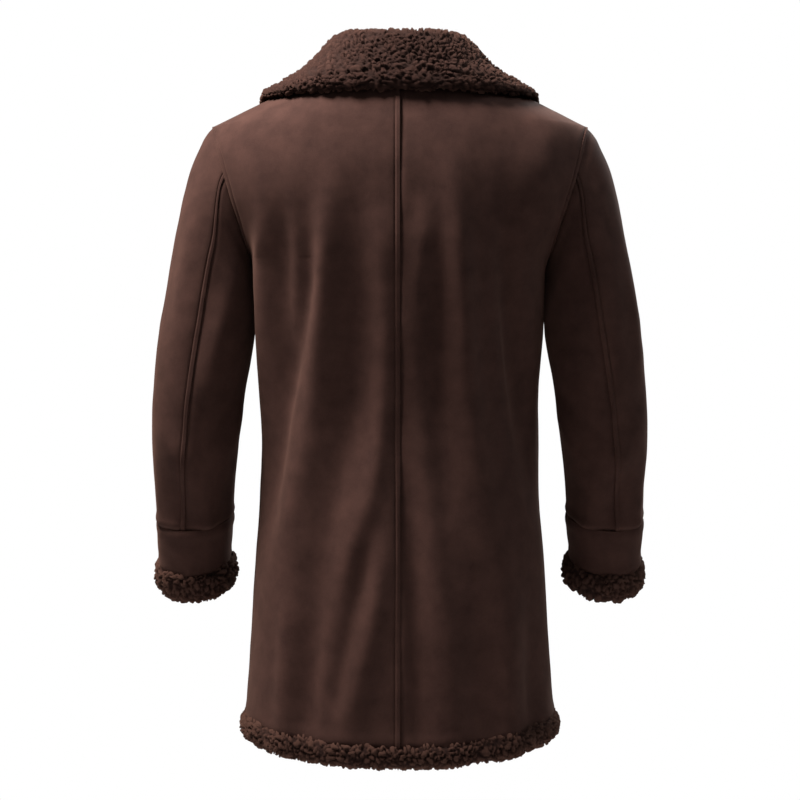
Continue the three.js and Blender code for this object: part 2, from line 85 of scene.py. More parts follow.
# height and half width or depth; the side seams and the widest line are the same over the skirt
skirtProfile = [(-870, 201), (-824, 198.5), (-770, 194.5), (-693, 190), (-628, 185.5), (-560, 181)]
sideProfile = skirtProfile + [
    (-470, 179), (-407, 180.5), (-350, 185), (-320, 186), (-290, 186.6), (-268, 187.6), (-255, 190)]
breadthProfile = skirtProfile + [
    (-470, 180), (-407, 184), (-350, 191), (-300, 200), (-255, 212), (-219, 229), (-194, 243), (-167, 256),
    (-140, 265), (-115, 266), (-96, 259), (-79, 243), (-60, 203.8), (-40, 162.6), (-20, 121.4), (3, 74)]
backProfile = [
    (-870, 150), (-760, 147), (-640, 139), (-530, 126), (-430, 119), (-330, 128), (-240, 138), (-180, 137),
    (-140, 134.5), (-105, 128), (-79, 119), (-40, 99), (-15, 82), (3, 68)]
frontProfile = [
    (-870, 147), (-760, 143), (-640, 138), (-530, 134), (-430, 134), (-330, 138), (-250, 136), (-190, 126),
    (-150, 112), (-115, 94), (-90, 78)]

# folds over a panel: x, z and how far the cloth stands out at each point of a path, then the width;
# most run down from the shoulder blades and the seat, and no two are alike
backFolds = [
    ([(80, -150, 0), (88, -215, 4), (93, -298, 5), (97, -345, 5), (105, -445, 5), (120, -519, 4),
      (134, -580, 3), (142, -650, 0)], 16),
    ([(122, -165, 0), (115, -224, -3), (119, -298, -5), (127, -340, -5), (136, -390, -4),
      (150, -450, 0)], 14),
    ([(150, -190, -2), (148, -250, -5), (152, -330, -6), (148, -400, -6), (156, -470, -7),
      (166, -550, -6), (174, -640, 0)], 15),
    ([(176, -200, 0), (174, -260, 5), (173, -340, 5), (173, -430, 5), (178, -540, 0)], 12),
    ([(52, -140, 0), (52, -224, -3), (52, -298, -4), (52, -372, -5), (60, -445, -6), (78, -519, -7),
      (95, -593, -7), (107, -690, -6), (113, -760, -5), (118, -850, -3)], 21),
    ([(26, -190, 0), (20, -270, 2), (17, -335, 4), (18, -408, 5), (23, -482, 6), (33, -550, 6),
      (48, -596, 5), (62, -632, 3), (80, -680, 0)], 14),
    ([(34, -565, 0), (42, -625, -4), (50, -667, -5), (59, -706, -4), (68, -744, -3), (86, -820, -3)], 14),
    ([(18, -560, 0), (22, -620, 4), (29, -690, 6), (41, -745, 6), (54, -790, 5), (66, -840, 4)], 16),
    ([(-3, -430, 0), (-7, -540, -4), (-14, -640, -6), (-20, -740, -6), (-24, -850, -6)], 16),
    ([(128, -610, 0), (122, -690, -4), (118, -760, -4), (122, -850, -3)], 17),
    ([(142, -650, 0), (139, -720, 4), (140, -790, 5), (144, -860, 4)], 13),
    ([(-40, -170, 0), (-30, -230, 3), (-22, -290, 4), (-18, -360, 4), (-20, -430, 3), (-28, -519, 2),
      (-38, -593, 3), (-48, -670, 3), (-57, -740, 3), (-66, -840, 3)], 15),
    ([(-52, -200, 0), (-48, -260, -2), (-45, -320, -3), (-45, -390, -3), (-50, -450, -3), (-60, -530, -2),
      (-68, -620, 0)], 14),
    ([(-60, -130, 0), (-66, -200, 5), (-71, -260, 8), (-74, -320, 9), (-76, -390, 9), (-83, -450, 7),
      (-96, -530, 4), (-112, -600, 2), (-124, -660, 0)], 18),
    ([(-180, -90, 0), (-178, -130, 4), (-176, -175, 4), (-172, -215, 0)], 26),
    ([(-128, -190, -1), (-134, -250, -5), (-142, -315, -8), (-149, -372, -9), (-157, -445, -7),
      (-164, -530, -3), (-170, -600, 0)], 16),
    ([(-140, -62, 0), (-100, -50, 4), (0, -42, 4), (100, -50, 4), (140, -62, 0)], 20),
    ([(-96, -640, 0), (-98, -720, -4), (-96, -850, -3)], 19),
    ([(-128, -600, 0), (-132, -690, 3), (-136, -780, 4), (-134, -860, 3)], 16),
    ([(-164, -640, 0), (-168, -740, -4), (-170, -850, -4)], 13),
]
frontFolds = [
    ([(134, -190, 0), (126, -260, 5), (118, -360, 6), (128, -440, 5), (140, -530, 0)], 16),
    ([(98, -190, 0), (94, -280, -5), (92, -380, -5), (100, -460, -4), (112, -560, 0)], 15),
    ([(64, -540, 0), (78, -620, 4), (96, -710, 5), (102, -860, 5)], 17),
    ([(130, -600, 0), (128, -720, -4), (132, -860, -5)], 16), ([(158, -620, 0), (160, -860, 4)], 13),
    ([(-128, -190, 0), (-120, -260, 5), (-112, -350, 6), (-124, -440, 5), (-142, -540, 0)], 16),
    ([(-92, -200, 0), (-88, -300, -5), (-86, -400, -4), (-94, -500, 0)], 15),
    ([(-72, -560, 0), (-80, -680, 4), (-90, -860, 5)], 17), ([(-122, -580, 0), (-120, -860, -5)], 17),
    ([(-150, -560, 0), (-152, -700, 4), (-154, -860, 4)], 14),
    ([(150, -230, 0), (156, -330, -4), (162, -420, 0)], 12),
    ([(-150, -230, 0), (-154, -320, -4), (-160, -420, 0)], 12),
]


def smoothStep(low, high, value):
    t = np.clip((value - low) / (high - low), 0, 1)
    return t * t * (3 - 2 * t)


def mix(a, b, t):
    return a + (b - a) * t


def power(value, exponent):
    return np.sign(value) * np.abs(value) ** exponent


def bell(distance, centre, width):
    return np.exp(-((distance - centre) / width) ** 2)


def relief(distance, rows):
    return sum(height * bell(distance, centre, width) for height, centre, width in rows)


# angles all round, and points from three coordinates
def wholeTurn(count):
    return np.linspace(0, 2 * math.pi, count, endpoint=False)


def xyz(*coordinates):
    return np.stack(np.broadcast_arrays(*coordinates), -1)


def unit(vectors):
    return vectors / np.maximum(np.linalg.norm(vectors, axis=-1, keepdims=True), 1e-9)


# the distance along a line at each of its points
def runAlong(line):
    return np.concatenate([[0], np.cumsum(np.linalg.norm(np.diff(line, axis=0), axis=1))])


# every column of a table at the wanted places along its run
def resample(rows, run, wanted):
    return np.stack([np.interp(wanted, run, column) for column in rows.T], -1)


# a smooth curve through the rows of a table, each a key and its levels: a straight chord plus a cubic
# that meets each row's slope; it gives one array for each column of levels
def tableCurve(rows, value):
    keys, levels = np.array(rows, float)[:, 0], np.array(rows, float)[:, 1:]
    last = len(keys) - 1
    before, after = np.maximum(np.arange(last + 1) - 1, 0), np.minimum(np.arange(last + 1) + 1, last)
    slope = (levels[after] - levels[before]) / (keys[after] - keys[before])[:, None]
    low = np.clip(np.searchsorted(keys, value) - 1, 0, last - 1)
    span, rise = (keys[low + 1] - keys[low])[..., None], levels[low + 1] - levels[low]
    t = (value - keys[low])[..., None] / span
    bend = (1 - t) * (slope[low] * span - rise) - t * (slope[low + 1] * span - rise)
    return np.moveaxis(levels[low] + rise * t + t * (1 - t) * bend, -1, 0)


# the normal of each grid point: the way along its row crossed with the way up its column
def gridNormals(grid, closedRows=False, closedColumns=False):
    along = np.roll(grid, -1, 1) - np.roll(grid, 1, 1) if closedRows else np.gradient(grid, axis=1)
    up = np.roll(grid, -1, 0) - np.roll(grid, 1, 0) if closedColumns else np.gradient(grid, axis=0)
    return unit(np.cross(along, up))


# turns round each normal that points towards the middle
def turnedOut(normals, grid, middle):
    return np.where(np.sum(normals * (grid - middle), -1, keepdims=True) < 0, -normals, normals)


# a value between 0 and 1 for each whole-number cell, scrambled by multiplying and folding bits
def cellRandom(cell, seed):
    x, y, z = cell[..., 0], cell[..., 1], cell[..., 2]
    h = (x * 73856093) ^ (y * 19349663) ^ (z * 83492791) ^ (seed * 2654435761)
    h = (h ^ (h >> 13)) * 1274126177 & 0xFFFFFFFF
    return ((h ^ (h >> 16)) & 0xFFFFFF) / float(0xFFFFFF)


# soft noise from -1 to 1: random values at the corners of cells of that size, blended smoothly
def softNoise(points, size, seed):
    scaled = points / size
    base = np.floor(scaled).astype(np.int64)
    t = scaled - base
    t = t * t * (3 - 2 * t)
    total = 0
    for corner in np.ndindex(2, 2, 2):
        weight = np.prod(np.where(np.array(corner) == 1, t, 1 - t), axis=-1)
        total = total + weight * cellRandom(base + np.array(corner), seed)
    return 2 * total - 1


def waves(points, rows, seed):
    return sum(height * softNoise(points, size, seed + 5 * k) for k, (height, size) in enumerate(rows))


# soft noise in each of the three directions
def noisePush(points, size, seed):
    return np.stack([softNoise(points, size, seed + k) for k in range(3)], -1)


# the distances to the nearest and second nearest of points scattered one to a cell
def scatterDistances(points, size, seed):
    scaled = points / size
    base = np.floor(scaled).astype(np.int64)
    first = np.full(points.shape[:-1], 9.0)
    second = first.copy()
    for offset in np.ndindex(3, 3, 3):
        cell = base + np.array(offset) - 1
        spot = cell + np.stack([cellRandom(cell, seed + axis) for axis in range(3)], -1)
        distance = np.linalg.norm(scaled - spot, axis=-1)
        second = np.minimum(second, np.maximum(first, distance))
        first = np.minimum(first, distance)
    return first, second


def gridQuads(rows, columns, start=0, closed=False, flip=False):
    across = np.arange(columns if closed else columns - 1)
    row, column = np.meshgrid(np.arange(rows - 1), across, indexing="ij")
    a = start + row * columns + column
    b = start + row * columns + (column + 1) % columns
    quads = np.stack([a, b, b + columns, a + columns], -1).reshape(-1, 4)
    return quads[:, ::-1] if flip else quads


# quads round the border of two grids of one shape, joining the outer to the inner one
def rimQuads(rows, columns, innerStart):
    top = (rows - 1) * columns + np.arange(columns)[::-1]
    left = (np.arange(rows) * columns)[::-1]
    right = np.arange(rows) * columns + columns - 1
    loop = np.concatenate([np.arange(columns)[:-1], right[:-1], top[:-1], left[:-1]])
    after = np.roll(loop, -1)
    return np.stack([after, loop, loop + innerStart, after + innerStart], -1)


# the caps that close the first and the last ring of a tube whose rings have that many columns
def ringCaps(rings, columns, start=0):
    ring = np.arange(columns)
    return [start + ring[::-1], start + (rings - 1) * columns + ring]


def makeMesh(name, points, quads, materials, materialIndex=None, attributes=None, caps=()):
    mesh = bpy.data.meshes.new(name)
    sizes = np.concatenate([np.full(len(quads), 4), [len(cap) for cap in caps]]).astype(np.int32)
    corners = np.concatenate([quads.ravel(), *caps]).astype(np.int32)
    mesh.vertices.add(points.size // 3)
    mesh.vertices.foreach_set("co", (points * mm).astype(np.float32).ravel())
    mesh.loops.add(len(corners))
    mesh.loops.foreach_set("vertex_index", corners)
    mesh.polygons.add(len(sizes))
    mesh.polygons.foreach_set("loop_start", np.concatenate([[0], np.cumsum(sizes)[:-1]]).astype(np.int32))
    mesh.polygons.foreach_set("use_smooth", np.ones(len(sizes), bool))
    for material in materials:
        mesh.materials.append(material)
    if materialIndex is not None:
        mesh.polygons.foreach_set("material_index", materialIndex.astype(np.int32))
    for label, values in (attributes or {}).items():
        kind, field = ("FLOAT", "value") if np.ndim(values) == 2 else ("FLOAT_VECTOR", "vector")
        layer = mesh.attributes.new(label, kind, "POINT")
        layer.data.foreach_set(field, values.astype(np.float32).ravel())
    mesh.update(calc_edges=True)
    mesh.validate()
    return addObject(name, mesh)


# every piece is fixed to the coat's one body
def declare(piece, slot, *nodes):
    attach(piece, "root")
    if nodes:
        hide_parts(*nodes)


def srgb(code):
    channels = [int(code[place:place + 2], 16) / 255 for place in (1, 3, 5)]
    linear = [c / 12.92 if c <= 0.04045 else ((c + 0.055) / 1.055) ** 2.4 for c in channels]
    return (*linear, 1.0)


# a colour ramp takes its stops as places and colours
def addNode(tree, kind, inputs=None, settings=None, stops=()):
    node = tree.nodes.new("ShaderNode" + kind)
    for key, value in (settings or {}).items():
        setattr(node, key, value)
    for key, value in (inputs or {}).items():
        if isinstance(value, bpy.types.NodeSocket):
            tree.links.new(value, node.inputs[key])
        else:
            node.inputs[key].default_value = value
    for stop in stops[2:]:
        node.color_ramp.elements.new(stop[0])
    for index, (place, colour) in enumerate(stops):
        node.color_ramp.elements[index].position = place
        node.color_ramp.elements[index].color = srgb(colour)
    return node


# a material whose surface is one shader, with the inputs that a function of its tree and look makes
def newMaterial(name, shaderInputs, look):
    material = bpy.data.materials.new(name)
    material.use_nodes = True
    tree = material.node_tree
    tree.nodes.clear()
    shader = addNode(tree, "BsdfPrincipled", shaderInputs(tree, look))
    addNode(tree, "OutputMaterial", {"Surface": shader.outputs["BSDF"]})
    return material


# what the two napped cloths share: a colour, a bump and the nap's own sheen
def nappedSurface(ramp, bump, look):
    return {"Base Color": ramp.outputs["Color"], "Normal": bump.outputs["Normal"],
            "Roughness": look["roughness"], "Specular IOR Level": look["specular"],
            "Sheen Weight": look["sheen"], "Sheen Roughness": look["sheenRoughness"],
            "Sheen Tint": srgb(look["sheenTint"])}


# faux suede: brushed microfibre with a short nap, so it is matte, mottled where the nap lies over, and
# pale where it is seen at a flat angle
suedeLook = {
    "dark": "#2a1b18", "light": "#422e29", "patchSize": 26.0, "grainSize": 1.4, "grainShare": 0.45,
    "roughness": 0.95, "specular": 0.15, "sheen": 0.22, "sheenRoughness": 0.45, "sheenTint": "#8a6a5c",
    "bump": 0.35, "napDepth": 0.6,
}


def suedeInputs(tree, look):
    spot = addNode(tree, "TexCoord").outputs["Object"]
    patches = addNode(tree, "TexNoise", {
        "Vector": spot, "Scale": 1 / (look["patchSize"] * mm), "Detail": 5.0, "Roughness": 0.62})
    grain = addNode(tree, "TexNoise", {
        "Vector": spot, "Scale": 1 / (look["grainSize"] * mm), "Detail": 3.0, "Roughness": 0.7})
    blend = addNode(tree, "Math", {0: grain.outputs["Fac"], 1: look["grainShare"], 2: patches.outputs["Fac"]},
                    {"operation": "MULTIPLY_ADD"})
    ramp = addNode(tree, "ValToRGB", {"Fac": blend.outputs[0]},
                   stops=[(0.35, look["dark"]), (1.0, look["light"])])
    bump = addNode(tree, "Bump", {
        "Height": blend.outputs[0], "Strength": look["bump"], "Distance": look["napDepth"] * mm})
    return nappedSurface(ramp, bump, look)


# sherpa: polyester pile curled into small tufts, matte, with painted shade in the gaps between the tufts
sherpaLook = {
    # the gap colour is painted shade between the tufts, and the light colour painted light on their tops
    "gap": "#1c1312", "dark": "#2a1c19", "light": "#402e28", "curlSize": 1.3, "curlShare": 0.35,
    "roughness": 1.0, "specular": 0.1, "sheen": 0.3, "sheenRoughness": 0.6, "sheenTint": "#8a6a5c",
    "bump": 0.5, "curlDepth": 0.9, "soft": 0.65,
}


def sherpaInputs(tree, look):
    spot = addNode(tree, "TexCoord").outputs["Object"]
    curls = addNode(tree, "TexNoise", {
        "Vector": spot, "Scale": 1 / (look["curlSize"] * mm), "Detail": 4.0, "Roughness": 0.65,
        "Distortion": 1.2})
    # the pile's rise picks the colour: the gap colour as painted shade where it is low, the light colour as
    # painted light where it is high
    rise = addNode(tree, "Attribute", None, {"attribute_name": "pileRiseForPaintedShading"})
    blend = addNode(tree, "Math", {0: curls.outputs["Fac"], 1: look["curlShare"], 2: rise.outputs["Fac"]},
                    {"operation": "MULTIPLY_ADD"})
    ramp = addNode(tree, "ValToRGB", {"Fac": blend.outputs[0]},
                   stops=[(0.18, look["gap"]), (0.5, look["dark"]), (1.0, look["light"])])
    # fibres let light through, so the tufts are shaded mostly as if they weren't there
    ground = addNode(tree, "Attribute", None, {"attribute_name": "groundNormal"})
    tuft = addNode(tree, "NewGeometry")
    part = addNode(tree, "VectorMath", {
        0: ground.outputs["Vector"], "Scale": look["soft"] / (1 - look["soft"])}, {"operation": "SCALE"})
    whole = addNode(tree, "VectorMath", {
        0: tuft.outputs["Normal"], 1: part.outputs["Vector"]}, {"operation": "ADD"})
    even = addNode(tree, "VectorMath", {0: whole.outputs["Vector"]}, {"operation": "NORMALIZE"})
    bump = addNode(tree, "Bump", {
        "Height": curls.outputs["Fac"], "Strength": look["bump"], "Distance": look["curlDepth"] * mm,
        "Normal": even.outputs["Vector"]})
    return nappedSurface(ramp, bump, look)


suede = newMaterial("brushed faux suede", suedeInputs, suedeLook)
sherpa = newMaterial("sherpa pile", sherpaInputs, sherpaLook)
print("materials made")


# a fold is a row of bells half a width apart along its path, each with a share of the height there, so
# that together they make a soft ridge; distances along the height count half
def foldHeight(folds, across, along):
    total = np.zeros(np.broadcast(across, along).shape)
    for path, width in folds:
        rows = np.array(path, float) * np.array([1, 0.5, 1])
        run = runAlong(rows[:, :2])
        step = width / 2
        places = np.arange(0.5, max(run[-1] / step, 1)) * step
        share = step / (math.sqrt(math.pi) * width)
        for x, z, height in resample(rows, run, places):
            total += share * height * bell(across, x, width) * bell(along / 2, z, width)
    return total


# the body's form is a stack of rounded levels from the hem to the neck
def bodyLevels(facing, z):
    reach = (z - pitZ) / (tipZ - pitZ)
    up = (z - tipZ) / (neckZ - tipZ)
    armX = mix(body["pitX"], body["tipX"], reach)
    seamX = np.where(reach >= 1, mix(body["tipX"], body["neckHalfWidth"], up),
                     np.where(reach <= 0, tableCurve(sideProfile, z)[0], armX))
    edgeY = body["armholeHalfDepth"] * np.sqrt(np.clip(1 - (2 * reach - 1) ** 2, 0, 1))
    drop = body["neckDrop"] * smoothStep(body["neckDropStart"], neckZ, z) * (facing < 0)
    pointed = smoothStep(body["shoulderPointStart"], tipZ, z)
    pointed = pointed * (1 - body["shoulderPointLoss"] * smoothStep(tipZ, neckZ, z))
    depth = tableCurve(backProfile if facing > 0 else frontProfile, z - drop)[0]
    width = tableCurve(breadthProfile, z)[0]
    yRoundness = mix(body["roundness"], body["shoulderPoint"], pointed)
    end = np.arccos(np.clip(power(edgeY / depth, 1 / yRoundness), 0, 1))
    dipped = 1 - smoothStep(hemZ, hemZ + body["hemDipReach"], z)
    return {
        "z": z, "facing": facing, "depth": depth, "width": width, "yRoundness": yRoundness, "end": end,
        "lap": -np.arcsin(power(body["frontLap"] / width, 1 / body["roundness"])),
        "squeeze": seamX - width * power(np.sin(end), body["roundness"]),
        "drop": drop + body["hemDip"] * dipped,
    }


# each level is a rounded box-like curve: x follows a power of the angle's sine and y one of its cosine;
# the folds then push it in or out
def bodyPoints(level, side, angle):
    atEdge = smoothStep(body["squeezeStart"], math.pi / 2, level["end"])
    squeeze = level["squeeze"] * smoothStep(body["squeezeStart"], math.pi / 2, angle) / atEdge
    height = level["z"] - level["drop"] * np.cos(math.pi / 2 * angle / level["end"]) ** 2
    x = side * (level["width"] * power(np.sin(angle), body["roundness"]) + squeeze)
    inside = smoothStep(0, body["foldFade"], level["end"] - angle)
    folds = backFolds if level["facing"] > 0 else frontFolds
    out = 1 + body["foldGain"] * foldHeight(folds, x, height) * inside / level["depth"]
    y = level["facing"] * level["depth"] * power(np.cos(angle), level["yRoundness"])
    return xyz(x * out, y * out, height)


def angleAt(level, start, share):
    spread = math.pi / 2 - start
    return start + spread * share - (spread - level["end"] + start) * share ** 2


# rows and columns of a panel's grid, which are close together along its edges
panelGrid = {
    "hemSteps": [0, 0.8, 1.8, 3.0], "hemTop": 5, "belowArmhole": 132, "alongArmhole": 54, "onShoulder": 34,
    "dense": 260, "middleColumns": 64,
    "edgeSteps": [0, 0.5, 1.1, 1.8, 2.8, 3.9, 4.8, 5.4, 6.0, 6.7, 7.6, 9, 11.5, 15, 19],
}


def levelHeights():
    hem = hemZ + np.array(panelGrid["hemSteps"])
    below = np.linspace(hemZ + panelGrid["hemTop"], pitZ, panelGrid["belowArmhole"], endpoint=False)
    turn = np.linspace(0, math.pi, panelGrid["alongArmhole"], endpoint=False)
    along = mix(pitZ, tipZ, (1 - np.cos(turn)) / 2)
    shoulder = np.linspace(tipZ, neckZ, panelGrid["onShoulder"])
    return np.concatenate([hem, below, along, shoulder])[:, None]


# moves the points of each row to the same set of distances from its two ends, carrying along any values
# that follow the three coordinates
def spreadColumns(grid, middleColumns):
    steps = np.array(panelGrid["edgeSteps"])
    result = []
    for points in grid:
        run = runAlong(points[:, :3])
        middle = np.linspace(steps[-1], run[-1] - steps[-1], middleColumns + 2)[1:-1]
        result.append(resample(points, run, np.concatenate([steps, middle, run[-1] - steps[::-1]])))
    return np.array(result)


# how far the cloth stands up at a distance from a seam: a flat raised strip with a stitched groove
# behind it where the piece laps over its neighbour, and a plain dip where it lies under
def seamRise(distance, lap):
    past = distance - cloth["seamStrip"]
    strip = cloth["stripRise"] * (1 - smoothStep(*cloth["stripEdge"], past))
    return mix(relief(distance, cloth["dipRelief"]), strip + relief(past, cloth["grooveRelief"]), lap)


def distancesInRows(grid):
    steps = np.linalg.norm(np.diff(grid, axis=1), axis=2)
    run = np.concatenate([np.zeros((len(grid), 1)), np.cumsum(steps, axis=1)], axis=1)
    return run, run[:, -1:] - run


# a cloth wall: the pile side is the outer side moved in by the wall, and further in by curls that end at
# its border; a rim joins the two, or a tube's rows run on from the outer side to the pile side
def clothPiece(name, outer, normals, seed, flip, *nodes, tube=False):
    rows, columns = outer.shape[:2]
    border = np.ones((rows, columns))
    border[[0, -1], :] = 0
    if not tube:
        border[:, [0, -1]] = 0
    inner = outer - normals * cloth["wall"]
    near, far = scatterDistances(inner + cloth["curlWarp"] * noisePush(inner, cloth["warpSize"], seed),
                                 cloth["curl"], seed)
    rise = smoothStep(0.0, 0.35, far - near) * (1 - 0.4 * near)
    inner = inner - normals * (cloth["pileInside"] * rise * border)[..., None]
    count = rows * columns
    if tube:
        inner, rise = inner[::-1], rise[::-1]
        quads = gridQuads(2 * rows + 1, columns, 0, True, flip) % (2 * count)
        index = np.repeat(np.arange(2 * rows) >= rows, columns)
    else:
        rim = rimQuads(rows, columns, count)
        parts = [gridQuads(rows, columns, 0, False, flip), gridQuads(rows, columns, count, False, not flip),
                 rim[:, ::-1] if flip else rim]
        quads = np.concatenate(parts)
        index = np.repeat([0, 1, 0], [len(part) for part in parts])
    points = np.concatenate([outer, inner])
    # the curls' rise goes to the sherpa's colour, which paints shade into the gaps between them and light on
    # their tops
    pile = np.concatenate([np.ones((rows, columns)), rise])
    declare(makeMesh(name, points, quads, [suede, sherpa], index, {"pileRiseForPaintedShading": pile}), "suede", *nodes)


panels = [
    {"name": "back_left", "facing": 1, "side": 1, "centreLap": 1.0, "seed": 11},
    {"name": "back_right", "facing": 1, "side": -1, "centreLap": 0.0, "seed": 12},
    {"name": "front_left", "facing": -1, "side": 1, "centreLap": 0.6, "seed": 13},
    {"name": "front_right", "facing": -1, "side": -1, "centreLap": 0.6, "seed": 14},
]


def bodyPanel(panel):
    facing, side, seed = panel["facing"], panel["side"], panel["seed"]
    heights = levelHeights()
    level = bodyLevels(facing, heights)
    start = level["lap"] if facing < 0 else np.zeros_like(heights)
    share = np.linspace(0, 1, panelGrid["dense"])[None, :]
    grid = spreadColumns(bodyPoints(level, side, angleAt(level, start, share)), panelGrid["middleColumns"])
    normals = gridNormals(grid) * facing * -side
    # the normals turn neither forwards nor back at a side seam, and neither left nor right down the
    # back's middle, so that the panels meet there
    onSeam = np.abs(grid[:, -1, 1]) < 0.5
    normals[onSeam, -1, 1] = 0
    if facing > 0:
        normals[:, 0, 0] = 0
    normals = unit(normals)
    # the right front lies under the left one's lap
    if facing < 0 and side < 0:
        under = 1 - smoothStep(body["frontLap"] + cloth["wall"], body["frontLap"] + body["lapBlend"],
                               -grid[..., 0])
        grid = grid - normals * ((cloth["wall"] + body["lapGap"]) * under)[..., None]
    fromCentre, fromEdge = distancesInRows(grid)
    armhole = smoothStep(pitZ - 4, pitZ + 14, heights)
    shoulder = smoothStep(tipZ - 2, tipZ + 2, heights)
    edgeLap = armhole * (1 - shoulder) + shoulder * (body["backShoulderLap"] if facing > 0 else 0)
    rise = seamRise(fromCentre, panel["centreLap"]) + seamRise(fromEdge, edgeLap)
    rise = rise + waves(grid, body["waves"], seed) - body["sink"]
    rise = rise + relief(heights - hemZ, body["hemRelief"])
    outer = grid + normals * rise[..., None]
    clothPiece(panel["name"] + "_cloth", outer, normals, seed, facing * side > 0, panel["name"])


for panel in panels:
    bodyPanel(panel)
print("body panels made")


# a sleeve is a stack of rings from the shoulder seam to the wrist
sleeve = {
    "rows": 152, "dense": 200, "middleColumns": 60, "span": 198, "endSteps": [0, 0.015, 0.035, 0.06, 0.09],
    "firstRing": 0.14,
    "seamNormalX": 0.957, "seamNormalZ": -0.288, "seamGap": 0.4, "armholeTwist": 8, "seatRows": 2.0,
    "creaseStart": (0, 30), "pressedRise": 4.6, "pressedTurn": 180, "pressedWidth": 32,
    "pressedStart": (4, 24), "pressedEnd": (95, 150),
    "topRelief": [(-1.2, 0, 3.0), (1.2, 12, 8)], "endRelief": [(-0.9, 0, 2.5), (1.6, 6, 5)],
    "waves": [(1.0, 60), (0.4, 22)], "waveSeed": 40, "sink": 0.5,
}

# outX, outZ, inX, inZ, depth, midY, tip, and how far the seams turn inwards
sleeveRings = np.array([
    (243, -79, 190, -255, 72, 0, 0, 0), (257, -102, 191, -264, 71.5, 0, 0, 9),
    (271, -132, 190.2, -276, 71, 1, 0, 17), (281, -169, 189.2, -290, 70, 2, 0, 20),
    (289.5, -212, 188.6, -308, 69, 4, 0, 18), (298, -258, 188, -330, 67.5, 6, 1, 16),
    (305.5, -303, 189, -355, 65.5, 9, 2, 15), (312.5, -350, 193, -384, 63, 11, 4, 14),
    (317.5, -398, 199.5, -420, 60.5, 11, 8, 13), (321, -446, 204.5, -458, 58, 8, 12, 11),
    (321.7, -492, 209.5, -497, 55.5, 0, 16, 10), (319.8, -540, 214.6, -538, 52, -14, 19, 8),
    (319, -587, 218.6, -581, 49.5, -29, 22, 7),
], float)
cuffRings = np.array([
    (320.2, -587, 217.4, -581, 50.7, -29, 22, 7), (319.5, -617, 221, -611, 50, -39, 23, 7),
    (318, -648, 225, -642, 49, -49.5, 24, 7),
], float)


# a smooth path through the rings, with more rings between them that lie close together at both ends
def ringsAt(rings, look):
    last = len(rings) - 1
    near = np.array(look["endSteps"])
    between = np.linspace(look["firstRing"], last - look["firstRing"], look["rows"])
    places = np.concatenate([near, between, last - near[::-1]])
    return places, tableCurve(np.column_stack([np.arange(last + 1), rings]), places).T


# each ring is an ellipse: its middle, plus its reach across times the turn's cosine, plus its reach
# behind, tipped with the forearm, times the sine
def tubePoints(rings, side, turns):
    outX, outZ, inX, inZ, depth, midY, tip = (rings[:, None, k] for k in range(7))
    across = xyz((outX - inX) / 2, 0, (outZ - inZ) / 2)
    middle = xyz((outX + inX) / 2, midY, (outZ + inZ) / 2)
    tipTurn = np.radians(tip)
    behind = xyz(0, np.cos(tipTurn) * depth, -np.sin(tipTurn) * depth)
    turn = np.radians(turns)[..., None]
    points = middle + across * np.cos(turn) + behind * np.sin(turn)
    return points * np.array([side, 1, 1])


# creases on a sleeve: turn in degrees and distance down the sleeve at each point, then the height at
# both ends, the height between them, and the width in degrees, about 1.1 mm each
leftCreases = [
    (150, 30, 190, 75, 215, 120, -1.6, -5.2, 12), (128, 40, 160, 95, 185, 150, 1.2, 4, 12),
    (60, 40, 55, 140, 66, 230, 1.2, 4, 15), (96, 60, 92, 170, 82, 240, -1, -3.4, 13),
    (128, 16, 130, 60, 126, 110, 118, 160, 1, 5, 14), (118, 110, 108, 190, 104, 280, 1.2, 4, 13),
    (20, 90, 25, 140, 30, 190, 0, -3.3, 18), (30, 255, 60, 300, 96, 315, -1.6, -5.2, 13),
    (36, 290, 66, 325, 104, 340, 1.4, 4.6, 12), (165, 250, 140, 280, 112, 300, -1.4, -4.6, 13),
    (176, 275, 150, 305, 120, 330, 1.4, 4.6, 12), (50, 350, 78, 400, 92, 460, -1.4, -4.6, 14),
    (22, 340, 30, 410, 40, 470, 1.2, 4, 16), (110, 365, 116, 430, 112, 480, 1.2, 4, 13),
    (150, 360, 148, 400, 146, 440, 0, -3.9, 14), (250, 60, 262, 140, 256, 230, 1.4, 4.6, 15),
    (290, 50, 291, 110, 292, 170, 0, -3.9, 15), (250, 250, 280, 290, 318, 300, -1.7, -5.8, 14),
    (244, 285, 282, 320, 322, 335, 1.6, 5.2, 13), (262, 345, 270, 400, 262, 470, 1.4, 4.6, 14),
    (300, 350, 298, 395, 296, 440, 0, -4.4, 15), (330, 120, 333, 170, 336, 220, 0, 3.3, 15),
    (340, 360, 342, 405, 344, 450, 0, 3.3, 15), (70, 470, 79, 481, 88, 492, 0, 3.9, 12),
    (120, 462, 128, 476, 136, 490, 0, -3.9, 12), (28, 480, 36, 490, 44, 500, 0, -3.3, 12),
]
